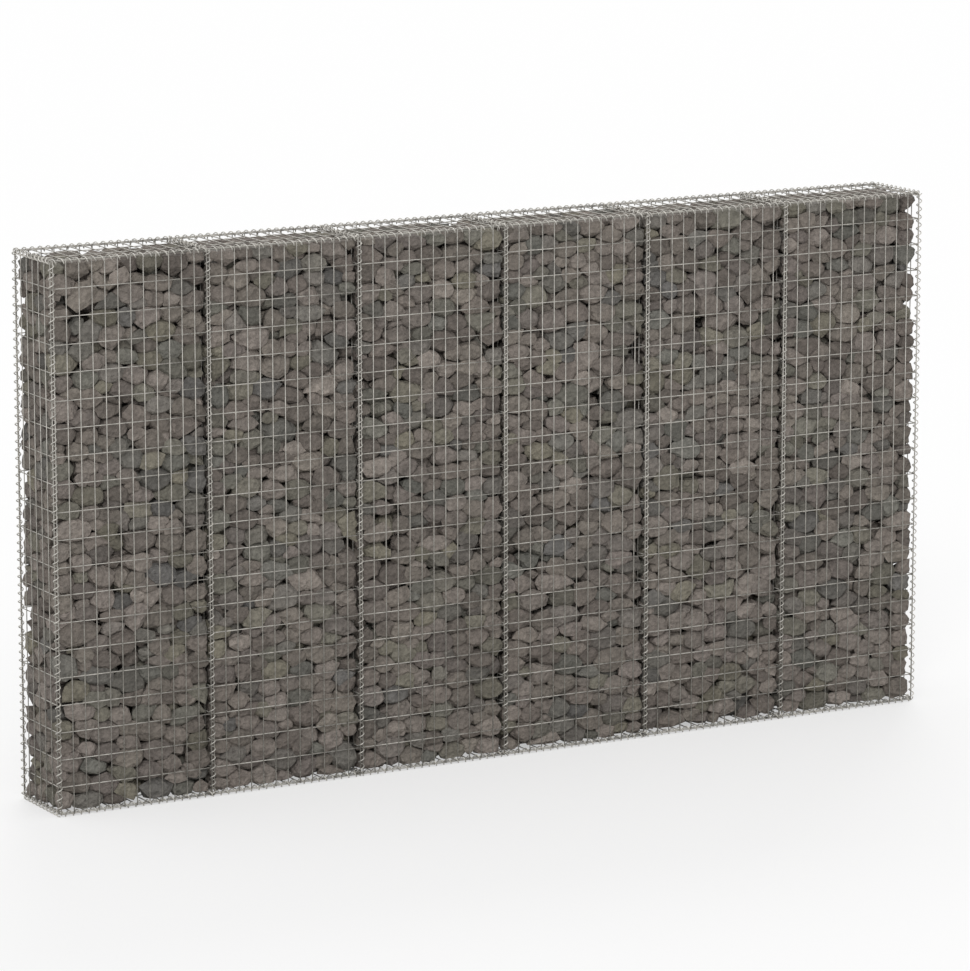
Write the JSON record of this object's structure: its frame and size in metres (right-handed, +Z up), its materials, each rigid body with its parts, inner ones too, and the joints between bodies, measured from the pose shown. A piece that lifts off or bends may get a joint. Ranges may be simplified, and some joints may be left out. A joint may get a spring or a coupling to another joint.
{
  "type": "gabion wall",
  "caption": "Tall, shallow gabion basket wall: bays of welded wire mesh panels laced along their edges and packed with stone.",
  "frame": {"origin": "middle of the footprint, on the underside of the base mesh", "axes": "+X along the row, -Y is the front face, +Z up"},
  "size_m": [3.6682, 0.321, 2.004],
  "materials": {
    "galvanised_wire": "dull galvanised",
    "stone": "rough"
  },
  "bodies": {
    "root": {"front_mesh_1": "galvanised_wire", "back_mesh_1": "galvanised_wire", "base_mesh_1": "galvanised_wire", "cover_mesh_1": "galvanised_wire", "front_mesh_2": "galvanised_wire", "back_mesh_2": "galvanised_wire", "base_mesh_2": "galvanised_wire", "cover_mesh_2": "galvanised_wire", "front_mesh_3": "galvanised_wire", "back_mesh_3": "galvanised_wire", "base_mesh_3": "galvanised_wire", "cover_mesh_3": "galvanised_wire", "front_mesh_4": "galvanised_wire", "back_mesh_4": "galvanised_wire", "base_mesh_4": "galvanised_wire", "cover_mesh_4": "galvanised_wire", "front_mesh_5": "galvanised_wire", "back_mesh_5": "galvanised_wire", "base_mesh_5": "galvanised_wire", "cover_mesh_5": "galvanised_wire", "front_mesh_6": "galvanised_wire", "back_mesh_6": "galvanised_wire", "base_mesh_6": "galvanised_wire", "cover_mesh_6": "galvanised_wire", "divider_mesh_1": "galvanised_wire", "divider_mesh_2": "galvanised_wire", "divider_mesh_3": "galvanised_wire", "divider_mesh_4": "galvanised_wire", "divider_mesh_5": "galvanised_wire", "end_mesh_left": "galvanised_wire", "end_mesh_right": "galvanised_wire", "stone_fill_1": "stone", "stone_fill_2": "stone", "stone_fill_3": "stone", "stone_fill_4": "stone", "stone_fill_5": "stone", "stone_fill_6": "stone"}
  },
  "joints": []
}
